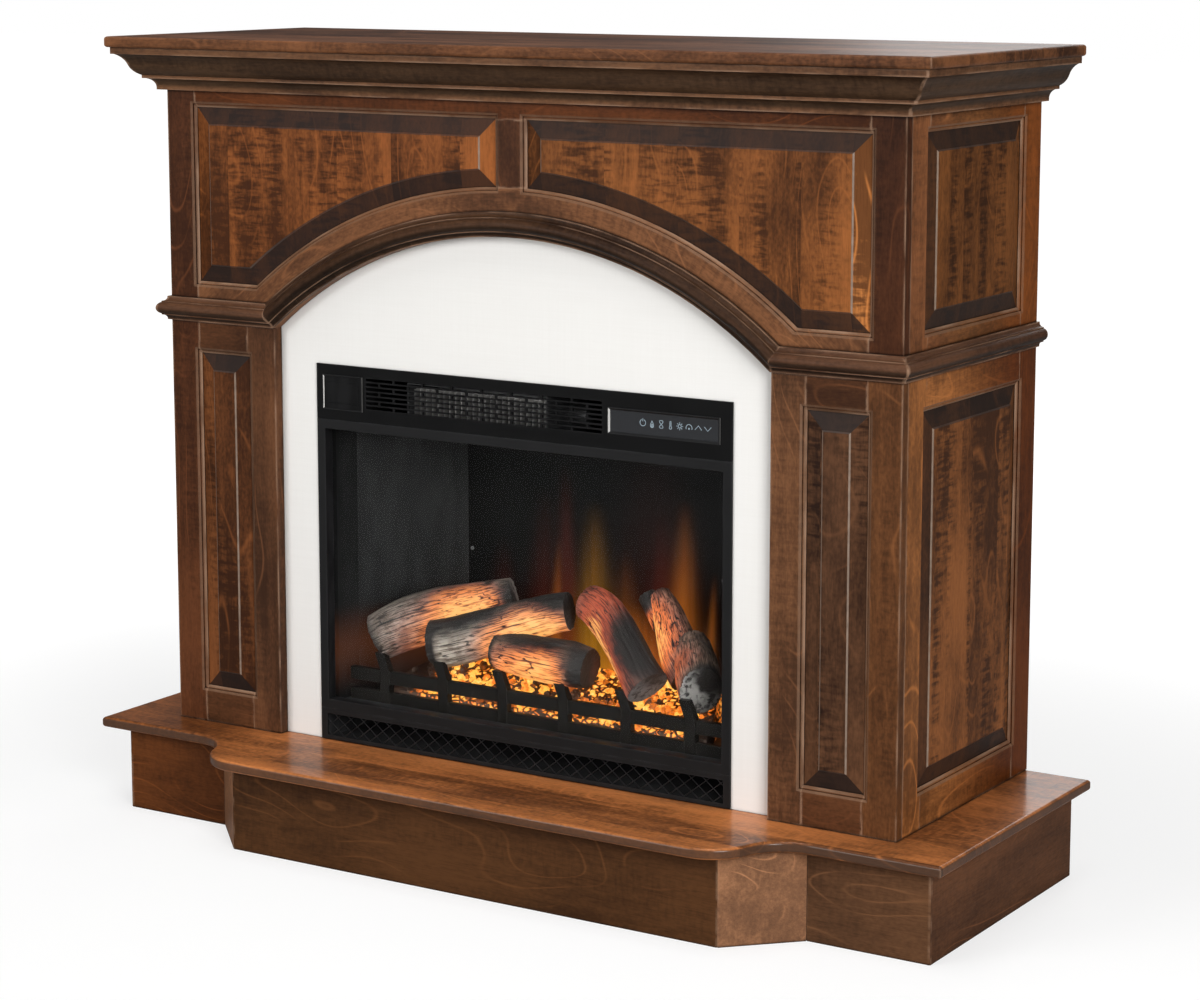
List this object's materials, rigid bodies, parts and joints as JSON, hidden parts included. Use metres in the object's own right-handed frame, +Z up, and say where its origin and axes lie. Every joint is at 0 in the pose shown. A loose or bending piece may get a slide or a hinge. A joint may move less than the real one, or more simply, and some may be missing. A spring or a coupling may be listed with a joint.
{
  "type": "electric fireplace",
  "caption": "Free-standing electric fireplace: wooden mantel with arched raised panels, white surround and bowed hearth, around a black insert with logs, embers, flame effect and fan heater.",
  "frame": {"origin": "on the floor, under the middle of the whole piece's box", "axes": "+X to the right of someone facing the fire, +Y from the fire's front to the wall behind it, +Z up"},
  "size_m": [1.672, 0.684, 1.393],
  "materials": {
    "panel_wood": "semi-gloss stained",
    "frame_wood": "semi-gloss stained",
    "moulding_wood": "semi-gloss stained, glazed",
    "inner_wood": "sawn",
    "white_board": "satin white paint",
    "black_sheet": "matte",
    "black_trim": "satin",
    "control_gloss": "gloss",
    "circuit": "matte",
    "clear_glass": "polished",
    "smoked_screen": "satin",
    "bright_steel": "bright",
    "motor_shell": "matte",
    "fan_metal": "satin",
    "lamp_white": "matte",
    "grate_iron": "matte black",
    "ember_resin": "translucent",
    "log_resin": "rough",
    "gland_rubber": "matte"
  },
  "bodies": {
    "fireplace": {"pilaster_panel_left": "panel_wood", "pilaster_panel_right": "panel_wood", "frieze_panel_left": "panel_wood", "frieze_panel_right": "panel_wood", "side_panel_upper_left": "panel_wood", "side_panel_upper_right": "panel_wood", "side_panel_lower_left": "panel_wood", "side_panel_lower_right": "panel_wood", "hearth_slab": "panel_wood", "mantel_shelf": "panel_wood", "front_stiles": "frame_wood", "pilaster_stiles": "frame_wood", "pilaster_rails": "frame_wood", "top_rail": "frame_wood", "center_mullion": "frame_wood", "arch_rail": "frame_wood", "side_frame_left": "frame_wood", "side_frame_right": "frame_wood", "plinth_sides": "frame_wood", "plinth_wings": "frame_wood", "plinth_angles": "frame_wood", "plinth_center": "frame_wood", "crown_front": "moulding_wood", "crown_returns": "moulding_wood", "belt_front_left": "moulding_wood", "belt_front_right": "moulding_wood", "belt_returns": "moulding_wood", "arch_moulding": "moulding_wood", "back_rails": "inner_wood", "glue_blocks": "inner_wood", "facing_panel": "white_board", "insert_housing": "black_sheet", "firebox_walls": "black_sheet", "firebox_ceiling": "black_sheet", "firebox_floor": "black_sheet", "blower_housing": "black_sheet", "top_fascia": "black_trim", "glass_frame": "black_trim", "lower_grille": "black_trim", "blank_plate": "black_trim", "control_panel": "control_gloss", "control_board": "circuit", "front_glass": "clear_glass", "flame_screen": "smoked_screen", "screen_screws": "bright_steel", "heater_element": "bright_steel", "flicker_motor": "motor_shell", "blower_motor": "motor_shell", "lamp_strip": "lamp_white", "log_grate": "grate_iron", "ember_bed": "ember_resin", "front_left_log": "log_resin", "back_left_log": "log_resin", "center_log": "log_resin", "leaning_log": "log_resin", "front_right_log": "log_resin", "back_right_log": "log_resin", "cord_gland": "gland_rubber"},
    "flicker": {"flicker_spindle": "bright_steel"},
    "blower": {"blower_wheel": "fan_metal"}
  },
  "joints": [
    {"name": "flicker_turn", "type": "hinge", "parent": "fireplace", "child": "flicker", "pos_m": [0, 0.15425, 0.285], "axis": [1, 0, 0], "continuous": true},
    {"name": "blower_turn", "type": "hinge", "parent": "fireplace", "child": "blower", "pos_m": [-0.076, -0.045, 0.7775], "axis": [1, 0, 0], "continuous": true}
  ]
}
